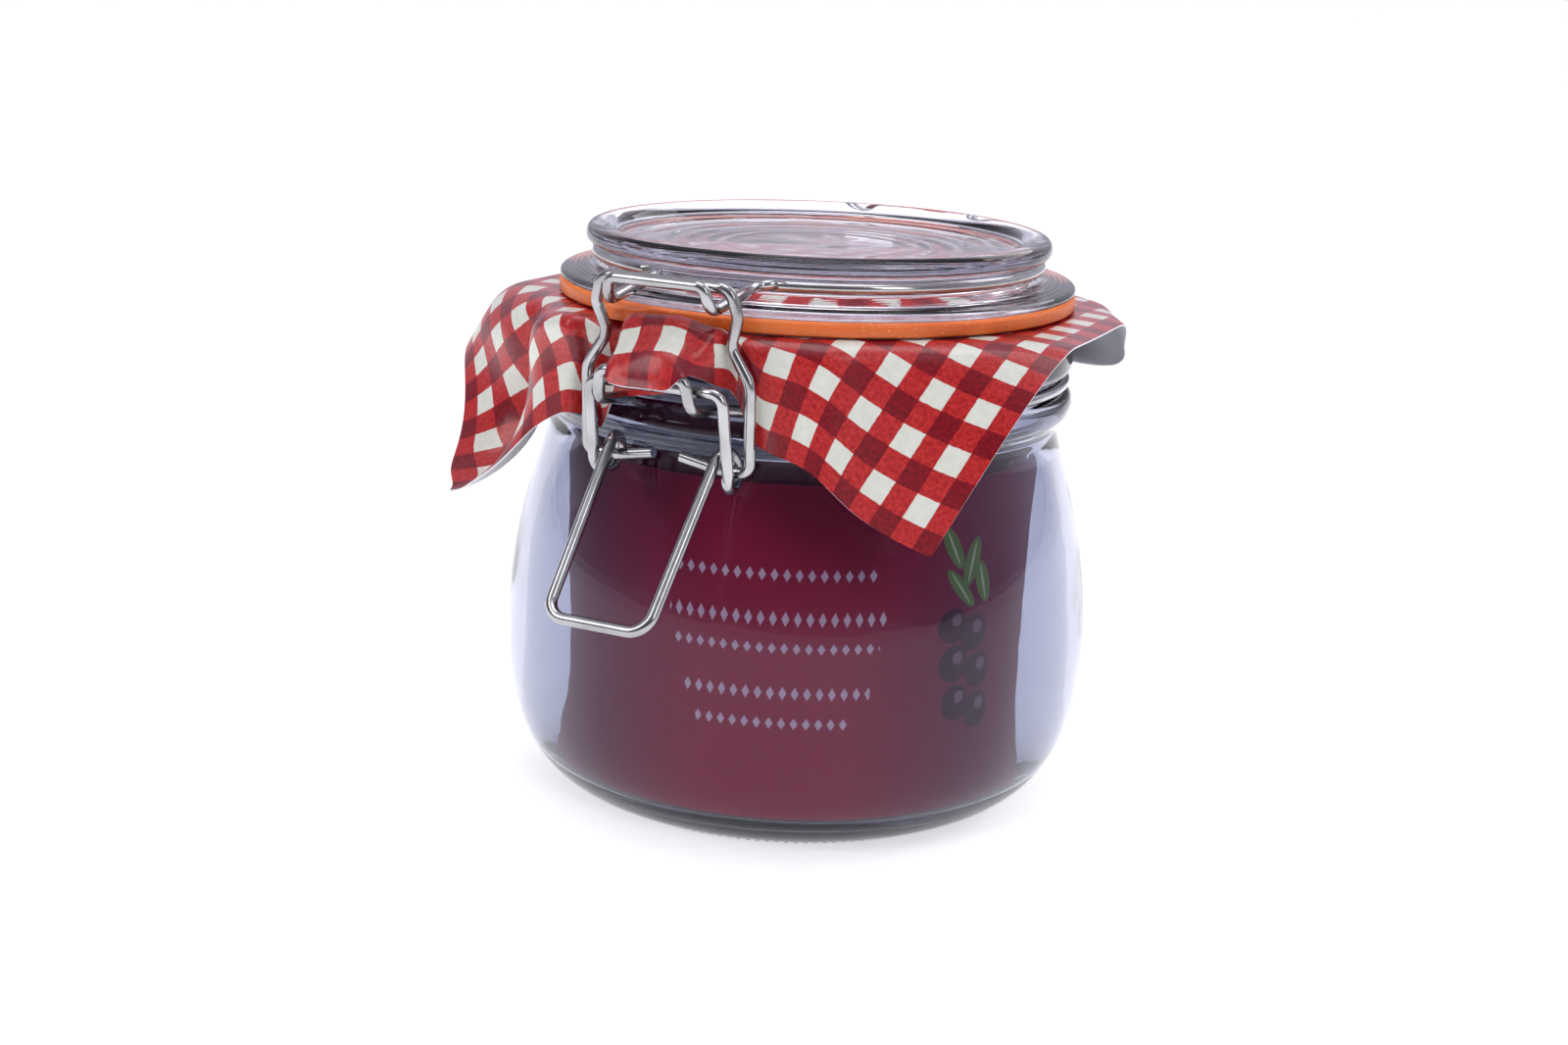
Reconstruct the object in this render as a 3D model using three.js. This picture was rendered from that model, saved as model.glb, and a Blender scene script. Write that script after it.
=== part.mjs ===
// Clip top jar: a round glass jar with a glass lid on a rubber seal, a square of gingham paper
// caught under the seal, a rolled card sleeve standing inside, and a steel wire clip.
// Millimetres, +Z up. The origin is the middle of the jar's underside and the clip faces -Y.
import * as THREE from 'three';

const rad = THREE.MathUtils.degToRad;

// Driving dimensions.
const JAR = { foot: 36.5, belly: 54, bellyZ: 30, neck: 46.3, neckZ: 70.3, rimZ: 91, wall: 3.2 };
const FLOOR = 6;                                  // height of the glass floor inside
const GROOVE_Z = 79;                              // the neck hoop lies in the groove between two beads
const BEAD = 48.5;
const MOUTH = 41.6;
const SHEET_THICK = 0.4;
const SHEET_Z = 91.5;                             // middle of the paper where it is clamped
const SEAL = { inner: 41.6, outer: 46.8, low: 92, high: 94.1 };
const TAB = { azimuth: -15.5, tip: 50.9, half: 4.4, round: 1.6 };
const LID = {
  offset: [1.325, 0.66], flange: 46.8, flangeLow: 94.4, groove: 38.7, top: 101.6, under: 97,
  rim: 39.96, rimZ: 101.96, rimTube: 2.31,
};
const CARD = { radius: 43.2, low: 6.4, high: 66, thick: 0.4, seam: 98, overlap: 14, rolledIn: 1.1 };
const WIRE = 1;                                   // radius of the steel wire
const LID_HOOP = { radius: 40.13, z: 99.05 };
const NECK_HOOP = { radius: 47.3, z: GROOVE_Z };
const LEVER_PIVOT = { out: 55.5, z: 83.4 };
const BAIL_PIVOT = { out: 50.2, z: 69.8 };
const EYE = 3;                                    // radius of the lever's eye coils
const HANDLE = { half: 9.4, out: 72.6, z: 47 };
const BUTT_GAP = 0.3;                             // where the two ends of a wire meet
const ROUND = 36;                                 // sides of the large round pieces
const SHEET = { side: 124.6, corner: [60.6, -61.1], turn: 3.3 };
const SHEET_CELLS = 30;

const finishes = {
  glass: { color: 0xc9cbe4, roughness: 0.05, metalness: 0 },
  rubber: { color: 0xd9651c, roughness: 0.5, metalness: 0 },
  paper: { color: 0xc02a2e, roughness: 0.3, metalness: 0 },
  card: { color: 0x6b1f3e, roughness: 0.4, metalness: 0 },
  steel: { color: 0xb8babd, roughness: 0.25, metalness: 1 },
};

const jarModel = new THREE.Group();

function addPiece(name, geometry, finish, place = [0, 0, 0]) {
  const mesh = new THREE.Mesh(geometry, new THREE.MeshStandardMaterial(finishes[finish]));
  mesh.name = name;
  mesh.position.set(...place);
  jarModel.add(mesh);
}

// Turns a half outline, radius across and height up, round the upright axis.
function turned(outline, sides = ROUND, curvePoints = 4) {
  const lathe = new THREE.LatheGeometry(outline.getPoints(curvePoints), sides);
  return lathe.rotateX(Math.PI / 2);
}

// The jar: flat foot, round heel, belly, narrow neck, two beads with the hoop's groove, rim.
function jarGeometry() {
  const inner = JAR.belly - JAR.wall;
  const outline = new THREE.Path();
  outline.moveTo(0, 0);
  outline.lineTo(JAR.foot, 0);
  outline.bezierCurveTo(46.5, 0.6, JAR.belly, 12, JAR.belly, JAR.bellyZ);
  outline.bezierCurveTo(JAR.belly, 47, 49.3, 58.5, JAR.neck, JAR.neckZ);
  outline.quadraticCurveTo(JAR.neck + 0.3, 72, BEAD - 0.1, 73.2);
  outline.quadraticCurveTo(BEAD + 0.3, 75, BEAD - 0.1, 77.2);
  outline.lineTo(JAR.neck - 0.35, GROOVE_Z - 0.9);
  outline.lineTo(JAR.neck - 0.35, GROOVE_Z + 0.9);
  outline.quadraticCurveTo(BEAD, 80.9, BEAD, 82.2);
  outline.quadraticCurveTo(BEAD - 0.1, 86, 46.8, 88);
  outline.lineTo(46.3, JAR.rimZ - 0.7);
  outline.lineTo(45.5, JAR.rimZ);
  outline.lineTo(MOUTH + 0.8, JAR.rimZ);
  outline.lineTo(MOUTH, JAR.rimZ - 0.8);
  outline.lineTo(MOUTH + 0.4, 80);
  outline.quadraticCurveTo(43.2, 73, 44, 66.5);
  outline.bezierCurveTo(47.4, 55, inner, 46, inner, JAR.bellyZ);
  outline.bezierCurveTo(inner, 14, 49.6, FLOOR, 44, FLOOR);
  outline.lineTo(0, FLOOR);
  return turned(outline);
}

// The lid: sunk top inside a round rim, a groove for its hoop, a flange over the seal and a
// collar that the seal sits round, hollow underneath.
function lidGeometry() {
  const outline = new THREE.Path();
  const rimTop = LID.rimZ + LID.rimTube;
  outline.moveTo(0, LID.under);
  outline.lineTo(33.5, LID.under);
  outline.quadraticCurveTo(36.6, 96.8, 36.8, 94.5);
  outline.lineTo(37.2, 92.2);
  outline.lineTo(40.6, 92.2);
  outline.lineTo(41.2, LID.flangeLow);
  outline.lineTo(LID.flange - 0.6, LID.flangeLow);
  outline.quadraticCurveTo(LID.flange + 0.1, 95.2, LID.flange - 0.6, 96);
  outline.lineTo(LID.groove, 97.5);
  outline.lineTo(LID.groove, 100.4);
  outline.quadraticCurveTo(LID.rim + 2.2, 100.6, LID.rim + LID.rimTube, LID.rimZ);
  outline.quadraticCurveTo(LID.rim + LID.rimTube, rimTop, LID.rim, rimTop);
  outline.quadraticCurveTo(37.4, rimTop, 36.4, 102.4);
  outline.quadraticCurveTo(35.6, LID.top, 33, LID.top);
  outline.lineTo(0, LID.top);
  return turned(outline, ROUND, 3);
}

// The seal: a flat ring with a pull tab, a tongue on its outer edge beside the clip.
function sealGeometry() {
  const middle = rad(TAB.azimuth - 90);
  const root = Math.asin((TAB.half + 1.8) / SEAL.outer);
  const along = new THREE.Vector2(Math.cos(middle), Math.sin(middle));
  const across = new THREE.Vector2(-along.y, along.x);
  const at = (out, side) => new THREE.Vector2()
    .addScaledVector(along, out).addScaledVector(across, side);
  const curve = (shape, a, b) => shape.quadraticCurveTo(a.x, a.y, b.x, b.y);
  const shape = new THREE.Shape();
  shape.absarc(0, 0, SEAL.outer, middle + root, middle - root + 2 * Math.PI, false);
  curve(shape, at(SEAL.outer - 0.3, -TAB.half), at(SEAL.outer + 1.2, -TAB.half));
  const shoulder = at(TAB.tip - TAB.round, -TAB.half);
  shape.lineTo(shoulder.x, shoulder.y);
  curve(shape, at(TAB.tip, -TAB.half), at(TAB.tip + 0.1, -TAB.half + TAB.round));
  const far = at(TAB.tip + 0.1, TAB.half - TAB.round);
  shape.lineTo(far.x, far.y);
  curve(shape, at(TAB.tip, TAB.half), at(TAB.tip - TAB.round, TAB.half));
  const back = at(SEAL.outer + 1.2, TAB.half);
  shape.lineTo(back.x, back.y);
  const end = at(SEAL.outer * Math.cos(root), SEAL.outer * Math.sin(root));
  curve(shape, at(SEAL.outer - 0.3, TAB.half), end);
  const bore = new THREE.Path();
  bore.absarc(0, 0, SEAL.inner, 0, 2 * Math.PI, true);
  shape.holes.push(bore);
  return new THREE.ExtrudeGeometry(shape, {
    depth: SEAL.high - SEAL.low, bevelEnabled: false, curveSegments: 20,
  }).translate(0, 0, SEAL.low);
}

// The card sleeve: one sheet of card rolled up, its ends overlapping at the seam.
function cardGeometry() {
  const steps = 60;
  const start = rad(CARD.seam - 90);
  const shape = new THREE.Shape();
  const spiral = (k, inset) => {
    const angle = start - (2 * Math.PI + rad(CARD.overlap)) * (k / steps);
    const radius = CARD.radius - CARD.rolledIn * (k / steps) - inset;
    return [radius * Math.cos(angle), radius * Math.sin(angle)];
  };
  shape.moveTo(...spiral(0, 0));
  for (let k = 1; k <= steps; k += 1) shape.lineTo(...spiral(k, 0));
  for (let k = steps; k >= 0; k -= 1) shape.lineTo(...spiral(k, CARD.thick));
  return new THREE.ExtrudeGeometry(shape, { depth: CARD.high - CARD.low, bevelEnabled: false })
    .translate(0, 0, CARD.low);
}

// The paper cover. One bend takes the sheet over a straight line and turns it; a fold is a
// direction with a run of bends, each [length, degrees], positive downwards.
const FOLDS = [
  { azimuth: 2, start: 47.2, stretch: 1, bends: [[2, -50], [1.8, 0], [5, 102], [5.9, 0], [2.5, 25]] },
  { azimuth: 9, start: 47.2, stretch: 1, bends: [[2, -34], [1.5, 0], [5, 96], [5, 10]] },
  { azimuth: 19, start: 47, stretch: 1, bends: [[4.5, 82]] },
  { azimuth: 37.4, start: 46.6, stretch: 1, bends: [[5.6, 80]] },
  { azimuth: 91, start: 47.2, stretch: 1, bends: [[10, 18]] },
  { azimuth: 140, start: 47, stretch: 1, bends: [[8, 30], [14, 40]] },
  { azimuth: 163, start: 47, stretch: 1, bends: [[4.5, 82]] },
  { azimuth: 180, start: 48.6, stretch: 0.86, bends: [[2, -50], [6.1, 130]] },
  { azimuth: 197, start: 47, stretch: 1, bends: [[4.5, 82]] },
  { azimuth: 227, start: 46.8, stretch: 1, bends: [[6, 72]] },
  { azimuth: 273, start: 47.2, stretch: 1, bends: [[9, 55]] },
  { azimuth: 317, start: 46.8, stretch: 1, bends: [[8, 74], [8, 23.6], [14, -46.6], [12, -31.2]] },
  { azimuth: 338.6, start: 49.8, stretch: 1, bends: [[1.6, -30], [5.6, 142.5], [6, -33]] },
  { azimuth: 346, start: 46.8, stretch: 1, bends: [[4.5, 82]] },
  { azimuth: 352.5, start: 47.2, stretch: 1, bends: [[2, -44], [1.8, 0], [5, 100], [5, 5]] },
];
const PLEAT = { azimuth: 317, depth: 4.5, width: 5 };
const NECK_CLEAR = { radius: 49.1, below: 90.3 };     // the sheet lies outside the beads of the neck
// On the clip's side the bail holds the sheet in, pairs of how far aside and how far out at most,
// and between its legs an ear of the sheet leans to the right and lies over the neck hoop's nose.
const HELD_IN = [[6.5, 62], [8.2, 57.6], [9.5, 53.2], [10.7, 50.4], [12.2, 48.6], [17.5, 48.6], [20.5, 62]];
const EAR = { lean: 0.18, from: 48, half: 12.5, soft: 4 };
const EAR_ARMS = { z: 81.8, half: 10.4, fall: 4 };
const EAR_REST = { half: 9.7, from: 52.6, low: 85, out: 55, rise: 1.95, run: 1.6, soft: 0.4 };
// Behind, the sheet is held in beside the hinge loops and rests on their wires.
const BACK_HELD = { from: 10.5, to: 17.5, out: 48.6, soft: 3 };
const BACK_SOFT = { height: 0.8, side: 1.5 };
const BACK_RESTS = [
  { from: -11, to: 11, z: 88 }, { from: -18, to: -14, z: 81.8 }, { from: 14, to: 18, z: 81.8 },
];

// How far a run of bends has gone out and down after a length of sheet.
function followed(bends, length) {
  let out = 0;
  let down = 0;
  let angle = 0;
  let left = Math.max(0, length);
  for (const [span, turn] of [...bends, [1000, 0]]) {
    const part = Math.min(left, span);
    const change = rad(turn) * (part / span);
    const chord = Math.abs(change) < 1e-6 ? part : 2 * (part / change) * Math.sin(change / 2);
    out += chord * Math.cos(angle + change / 2);
    down += chord * Math.sin(angle + change / 2);
    angle += change;
    left -= part;
    if (left <= 0) break;
  }
  return [out, down];
}

const smooth = (value) => THREE.MathUtils.smoothstep(value, 0, 1);

// A height that stays above a rest, with a soft change from lying on it to standing off it.
const restedOn = (height, rest, soft) => rest + soft * Math.log(1 + Math.exp((height - rest) / soft));

function heldInFront(place) {
  const near = smooth((EAR.half - Math.abs(place.x)) / EAR.soft);
  place.x += EAR.lean * Math.max(0, -place.y - EAR.from) * near;
  const side = Math.abs(place.x);
  const next = HELD_IN.findIndex(([aside]) => aside > side);
  let most = HELD_IN[0][1];
  if (next > 0) {
    const [[a, low], [b, high]] = [HELD_IN[next - 1], HELD_IN[next]];
    most = THREE.MathUtils.mapLinear(side, a, b, low, high);
  }
  const out = Math.min(-place.y, most);
  place.y = -out;
  const arms = EAR_ARMS.z - EAR_ARMS.fall * Math.max(0, side - EAR_ARMS.half);
  place.z = restedOn(place.z, arms, EAR_REST.soft);
  if (side > EAR_REST.half) return;
  const rest = EAR_REST.low + EAR_REST.rise * smooth((out - EAR_REST.out) / EAR_REST.run);
  const lifted = restedOn(place.z, rest, EAR_REST.soft) - place.z;
  place.z += lifted * smooth((out - EAR_REST.from) / 1.2);
}

function heldBehind(place) {
  const side = Math.abs(place.x);
  const held = smooth((side - BACK_HELD.from + BACK_HELD.soft) / BACK_HELD.soft)
    * smooth((BACK_HELD.to + BACK_HELD.soft - side) / BACK_HELD.soft);
  place.y -= Math.max(0, place.y - BACK_HELD.out) * held;
  for (const rest of BACK_RESTS) {
    const within = smooth((place.x - rest.from) / BACK_SOFT.side + 1)
      * smooth((rest.to - place.x) / BACK_SOFT.side + 1);
    place.z += (restedOn(place.z, rest.z, BACK_SOFT.height) - place.z) * within;
  }
}

// A point of the flat sheet, taken to its place on the jar.
function draped(x, y) {
  const azimuth = THREE.MathUtils.euclideanModulo(THREE.MathUtils.radToDeg(Math.atan2(x, -y)), 360);
  const upper = FOLDS.findIndex((fold) => fold.azimuth > azimuth);
  const second = upper < 0 ? 0 : upper;
  const first = (second + FOLDS.length - 1) % FOLDS.length;
  const span = THREE.MathUtils.euclideanModulo(FOLDS[second].azimuth - FOLDS[first].azimuth, 360);
  const share = THREE.MathUtils.euclideanModulo(azimuth - FOLDS[first].azimuth, 360) / span;
  const place = new THREE.Vector3();
  for (const [fold, weight] of [[FOLDS[first], smooth(1 - share)], [FOLDS[second], smooth(share)]]) {
    const normal = [Math.sin(rad(fold.azimuth)), -Math.cos(rad(fold.azimuth))];
    const distance = x * normal[0] + y * normal[1];
    const aside = x * -normal[1] + y * normal[0];
    const [out, down] = followed(fold.bends, (distance - fold.start) * fold.stretch);
    const reach = Math.min(distance, fold.start) + out;
    const pleat = fold.azimuth === PLEAT.azimuth
      ? PLEAT.depth * Math.exp(-((aside / PLEAT.width) ** 2)) * smooth((distance - fold.start) / 12) : 0;
    place.x += weight * ((reach - pleat) * normal[0] - aside * normal[1]);
    place.y += weight * ((reach - pleat) * normal[1] + aside * normal[0]);
    place.z += weight * (SHEET_Z - down);
  }
  if (place.y < 0) heldInFront(place);
  else heldBehind(place);
  const radius = Math.hypot(place.x, place.y);
  if (place.z < NECK_CLEAR.below && radius < NECK_CLEAR.radius) {
    place.x *= NECK_CLEAR.radius / radius;
    place.y *= NECK_CLEAR.radius / radius;
  }
  return place;
}

// A thin closed solid round a grid of points: one face above the sheet's middle, one below it,
// and a strip round the edge.
function sheetGeometry() {
  const cells = SHEET_CELLS;
  const row = cells + 1;
  const middle = [];
  const back = [-Math.cos(rad(SHEET.turn)), -Math.sin(rad(SHEET.turn))];
  const inward = [back[1], -back[0]];
  for (let j = 0; j <= cells; j += 1) {
    for (let i = 0; i <= cells; i += 1) {
      const u = SHEET.side * (i / cells);
      const v = SHEET.side * (j / cells);
      const [x, y] = [0, 1].map((k) => SHEET.corner[k] + back[k] * u + inward[k] * v);
      middle.push(draped(x, y));
    }
  }
  const clampIndex = (value) => Math.min(Math.max(value, 0), cells);
  const point = (i, j) => middle[clampIndex(j) * row + clampIndex(i)];
  const positions = [];
  for (const side of [1, -1]) {
    for (let j = 0; j <= cells; j += 1) {
      for (let i = 0; i <= cells; i += 1) {
        const across = point(i + 1, j).clone().sub(point(i - 1, j));
        const along = point(i, j + 1).clone().sub(point(i, j - 1));
        const normal = along.cross(across).normalize();
        const place = point(i, j).clone().addScaledVector(normal, side * SHEET_THICK / 2);
        positions.push(place.x, place.y, place.z);
      }
    }
  }
  const below = row * row;
  const index = [];
  for (let j = 0; j < cells; j += 1) {
    for (let i = 0; i < cells; i += 1) {
      const a = j * row + i;
      const b = a + 1;
      const c = a + row;
      const d = c + 1;
      index.push(a, c, b, b, c, d, a + below, b + below, c + below, b + below, d + below, c + below);
    }
  }
  const rim = [];
  for (let i = 0; i < cells; i += 1) rim.push(i);
  for (let j = 0; j < cells; j += 1) rim.push(j * row + cells);
  for (let i = cells; i > 0; i -= 1) rim.push(cells * row + i);
  for (let j = cells; j > 0; j -= 1) rim.push(j * row);
  rim.forEach((a, k) => {
    const b = rim[(k + 1) % rim.length];
    index.push(a, b, b + below, a, b + below, a + below);
  });
  const geometry = new THREE.BufferGeometry();
  geometry.setAttribute('position', new THREE.Float32BufferAttribute(positions, 3));
  geometry.setIndex(index);
  return geometry;
}

// Wires. A wire point is given by its side, its distance out from the jar's axis towards the
// clip, and its height. A corner is [point, bend radius].
const wirePoint = (side, out, z) => new THREE.Vector3(side, -out, z);

class WireLine extends THREE.Curve {
  constructor(points) {
    super();
    this.points = points;
  }

  getPoint(t, target = new THREE.Vector3()) {
    return target.copy(this.points[Math.round(t * (this.points.length - 1))]);
  }

  getTangent(t, target = new THREE.Vector3()) {
    const last = this.points.length - 1;
    const k = Math.round(t * last);
    const before = this.points[k].clone().sub(this.points[Math.max(k - 1, 0)]).normalize();
    const after = this.points[Math.min(k + 1, last)].clone().sub(this.points[k]).normalize();
    return target.copy(before.add(after)).normalize();
  }

  getUtoTmapping(u) {
    return u;
  }
}

function rounded(corners, step = rad(32)) {
  const line = [];
  corners.forEach(([point, radius], k) => {
    if (!radius) {
      line.push(point);
      return;
    }
    const before = corners[k - 1][0].clone().sub(point).normalize();
    const after = corners[k + 1][0].clone().sub(point).normalize();
    const opening = before.angleTo(after);
    const turn = Math.PI - opening;
    const cut = radius / Math.tan(opening / 2);
    const inwards = before.clone().add(after).normalize();
    const centre = point.clone().addScaledVector(inwards, radius / Math.sin(opening / 2));
    const from = point.clone().addScaledVector(before, cut).sub(centre);
    const to = point.clone().addScaledVector(after, cut).sub(centre);
    const steps = Math.max(1, Math.ceil(turn / step));
    for (let i = 0; i <= steps; i += 1) {
      const f = i / steps;
      line.push(centre.clone()
        .addScaledVector(from, Math.sin((1 - f) * turn) / Math.sin(turn))
        .addScaledVector(to, Math.sin(f * turn) / Math.sin(turn)));
    }
  });
  return line;
}

function wireGeometry(points, sides = 6) {
  const section = new THREE.Shape();
  section.absarc(0, 0, WIRE, 0, 2 * Math.PI, false);
  return new THREE.ExtrudeGeometry(section, {
    steps: points.length - 1, extrudePath: new WireLine(points), curveSegments: sides / 2,
  });
}

const mirrored = (line) => line.map((p) => new THREE.Vector3(-p.x, p.y, p.z)).reverse();
const shifted = (line, side) => line.map((p) => new THREE.Vector3(p.x + side, p.y, p.z));

// Points of a hoop between two azimuths, ends left out.
function hoopArc(hoop, centre, from, to, step = 8) {
  const count = Math.ceil(Math.abs(to - from) / step);
  const line = [];
  for (let k = 1; k < count; k += 1) {
    const azimuth = rad(from + (to - from) * (k / count));
    line.push(new THREE.Vector3(
      centre[0] + hoop.radius * Math.sin(azimuth), centre[1] - hoop.radius * Math.cos(azimuth), hoop.z));
  }
  return line;
}

// Where an arm at a given side leaves a hoop, at the front (1) or at the back (-1).
function hoopLeave(hoop, centre, side, front) {
  const reach = Math.sqrt(hoop.radius ** 2 - (side - centre[0]) ** 2);
  const place = new THREE.Vector3(side, centre[1] - front * reach, hoop.z);
  const azimuth = THREE.MathUtils.radToDeg(Math.atan2(side - centre[0], front * reach));
  return { place, azimuth };
}

// A hoop with a nose at the front and a loop at the back, one wire. front and back give the
// corners of the right half of each, from the hoop to the middle of the bar; the wire's ends meet
// in the middle of the bar named by `open`.
function hoopLine(hoop, centre, front, back, open) {
  const half = (part, sign, direction) => {
    const side = part.middle + sign * part.half;
    const leave = hoopLeave(hoop, centre, side, direction);
    const corners = part.corners.map(([inset, out, z, bend]) => [
      new THREE.Vector3(part.middle + sign * (part.half - inset), -direction * out, z), bend]);
    return { leave, corners: [[leave.place, part.root], ...corners] };
  };
  const halves = [half(front, 1, 1), half(front, -1, 1), half(back, 1, -1), half(back, -1, -1)];
  const [frontRight, frontLeft, backRight, backLeft] = halves;
  const right = hoopArc(hoop, centre, frontRight.leave.azimuth, backRight.leave.azimuth);
  const left = hoopArc(hoop, centre, backLeft.leave.azimuth, frontLeft.leave.azimuth);
  const corner = (line) => line.map((p) => [p, 0]);
  const gap = (part, sign) => new THREE.Vector3(part.middle + sign * BUTT_GAP / 2, 0, 0);
  const frontWay = (line) => [...line.corners].reverse();
  if (open === 'back') {
    const end = backRight.corners.at(-1)[0];
    const start = gap(back, -1).setY(end.y).setZ(end.z);
    const stop = gap(back, 1).setY(end.y).setZ(end.z);
    return rounded([
      [start, 0], ...frontWay(backLeft), ...corner(left), ...frontLeft.corners,
      ...frontWay(frontRight), ...corner(right), ...backRight.corners, [stop, 0]]);
  }
  const end = frontRight.corners.at(-1)[0];
  const start = new THREE.Vector3(front.open - BUTT_GAP / 2, end.y, end.z);
  const stop = new THREE.Vector3(front.open + BUTT_GAP / 2, end.y, end.z);
  return rounded([
    [stop, 0], ...frontWay(frontRight), ...corner(right), ...backRight.corners,
    ...frontWay(backLeft), ...corner(left), ...frontLeft.corners, [start, 0]]);
}

function lidHoopLine() {
  const front = {
    middle: 0.2, half: 9.7, root: 2.5, corners: [[0.1, 54.9, 96.3, 2.4], [0.9, 55.7, 100.5, 1.7]],
  };
  const back = {
    middle: 0, half: 13, root: 3,
    corners: [[0, 52.2, 98.4, 2.5], [0, 52.2, 85.2, 1.5], [0.6, 54.2, 82.4, 1.6]],
  };
  return hoopLine(LID_HOOP, LID.offset, front, back, 'back');
}

function neckHoopLine() {
  const front = {
    middle: -0.5, half: 8.8, root: 1.5, open: -2.5,
    corners: [[0.1, 57.5, 80.5, 2.4], [0.9, 58.4, 85.7, 1.7]],
  };
  const back = {
    middle: 0, half: 16, root: 3,
    corners: [[0, 57, 79.8, 2.2], [0.4, 57.4, 84, 1.4], [1, 55.6, 86.4, 1.5]],
  };
  return hoopLine(NECK_HOOP, [0, 0], front, back, 'front');
}

// The bail: a top bar, pinched sides, and feet that turn in through the lever's eyes.
function bailLine() {
  const foot = BAIL_PIVOT.z - 0.1;
  const right = rounded([
    [wirePoint(0, 52.6, 100.2), 0], [wirePoint(12, 52.6, 100.2), 2.6],
    [wirePoint(13.4, 51.9, 95.5), 3.5], [wirePoint(11.6, 50.9, 90.4), 3],
    [wirePoint(15.5, 50.9, 84.6), 5], [wirePoint(15.5, 50.6, 75), 8],
    [wirePoint(15.5, BAIL_PIVOT.out, foot), 1.8], [wirePoint(10, BAIL_PIVOT.out, foot), 1],
    [wirePoint(2.7, BAIL_PIVOT.out + 0.1, BAIL_PIVOT.z + 1.2), 0]]);
  return [...mirrored(right).slice(0, -1), ...right.slice(1)];
}

// The lever: a cross bar in the neck hoop's nose, straps down to the eyes, and the handle.
function leverLine() {
  const eye = [];
  const turn = 321;
  const steps = 11;
  for (let k = 0; k <= steps; k += 1) {
    const angle = rad(-turn * (k / steps));
    const out = BAIL_PIVOT.out + EYE * Math.cos(angle);
    eye.push([wirePoint(12.8 - 2.7 * (k / steps), out, BAIL_PIVOT.z + EYE * Math.sin(angle)), 0]);
  }
  const right = rounded([
    [wirePoint(BUTT_GAP / 2, LEVER_PIVOT.out, LEVER_PIVOT.z), 0],
    [wirePoint(12.5, LEVER_PIVOT.out, LEVER_PIVOT.z), 2.2], ...eye,
    [wirePoint(HANDLE.half, HANDLE.out, HANDLE.z), 3.5], [wirePoint(0, HANDLE.out, HANDLE.z), 0]]);
  return [...right.slice(0, -1), ...mirrored(right).slice(1)];
}

addPiece('jar', jarGeometry(), 'glass');
addPiece('card_insert', cardGeometry(), 'card');
addPiece('paper_cover', sheetGeometry(), 'paper');
addPiece('seal', sealGeometry(), 'rubber', [...LID.offset, 0]);
addPiece('lid', lidGeometry(), 'glass', [...LID.offset, 0]);
addPiece('lid_hoop', wireGeometry(lidHoopLine()), 'steel');
addPiece('neck_hoop', wireGeometry(neckHoopLine()), 'steel');
addPiece('bail', wireGeometry(bailLine(), 8), 'steel');
addPiece('lever', wireGeometry(shifted(leverLine(), 0.3), 8), 'steel');

export default jarModel;
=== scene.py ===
# %% [markdown]
# # A clip top jar
# A half litre glass jar: a glass lid on an orange rubber seal, a square of gingham paper caught
# under the seal, a rolled card sleeve inside, and a clip of four steel wires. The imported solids
# are the fixed frame. Each solid is too plain to show, so every one gets a finer piece in the
# same place, and the finer piece rides on the same body.

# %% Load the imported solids
import math

import bpy
from mathutils import Matrix, Vector, noise


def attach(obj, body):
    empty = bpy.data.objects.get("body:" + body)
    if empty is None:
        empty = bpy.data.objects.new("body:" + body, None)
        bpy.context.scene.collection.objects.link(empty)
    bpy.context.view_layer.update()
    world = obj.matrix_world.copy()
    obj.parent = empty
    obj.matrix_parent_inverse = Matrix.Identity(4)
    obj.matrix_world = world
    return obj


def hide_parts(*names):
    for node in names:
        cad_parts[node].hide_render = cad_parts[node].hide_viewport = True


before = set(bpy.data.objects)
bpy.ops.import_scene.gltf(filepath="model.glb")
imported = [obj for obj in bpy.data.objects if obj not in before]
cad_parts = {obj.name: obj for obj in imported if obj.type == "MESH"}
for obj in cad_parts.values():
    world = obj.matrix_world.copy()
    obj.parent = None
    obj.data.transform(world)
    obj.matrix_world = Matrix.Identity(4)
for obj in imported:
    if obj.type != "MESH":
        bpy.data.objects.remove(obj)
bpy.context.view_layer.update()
print("solids:", sorted(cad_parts))

# %% [markdown]
# ## Measures
# All measures are in millimetres, as on a drawing, and are turned into metres when a piece is
# made. The jar stands on its foot at height 0, its axis is the upright one, and the clip faces -Y.

# %% Measures
MM = 0.001
LID_OFFSET = (1.325, 0.66)      # the lid and its seal sit a little off the jar's axis
WIRE = 1.0                      # radius of the steel wire
LEVER_PIVOT = (55.5, 83.4)      # out from the axis, height
BAIL_PIVOT = (50.2, 69.8)
BUTT_GAP = 0.3                  # where the two ends of a wire meet
SHEET_SIDE = 124.6              # the square of paper, cut size
CHECK = 8.65                    # one repeat of the gingham


# %% [markdown]
# ## Camera
# The photograph looks at the jar from its right, a little from above, with the picture turned by
# two degrees. A camera is placed by its three axes, so that the turn is exact.

# %% Camera
AZIMUTH, ELEVATION, ROLL = (math.radians(turn) for turn in (26.5, 14.212, 2.368))
AIM = Vector((0, 0, 0.05))
CAMERA_DISTANCE = 0.43967
back = Vector((math.sin(AZIMUTH) * math.cos(ELEVATION), -math.cos(AZIMUTH) * math.cos(ELEVATION),
               math.sin(ELEVATION)))
level = Vector((math.cos(AZIMUTH), math.sin(AZIMUTH), 0))
upright = level.cross(-back)
right = level * math.cos(ROLL) + upright * math.sin(ROLL)
top = upright * math.cos(ROLL) - level * math.sin(ROLL)
place = AIM + back * CAMERA_DISTANCE

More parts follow.
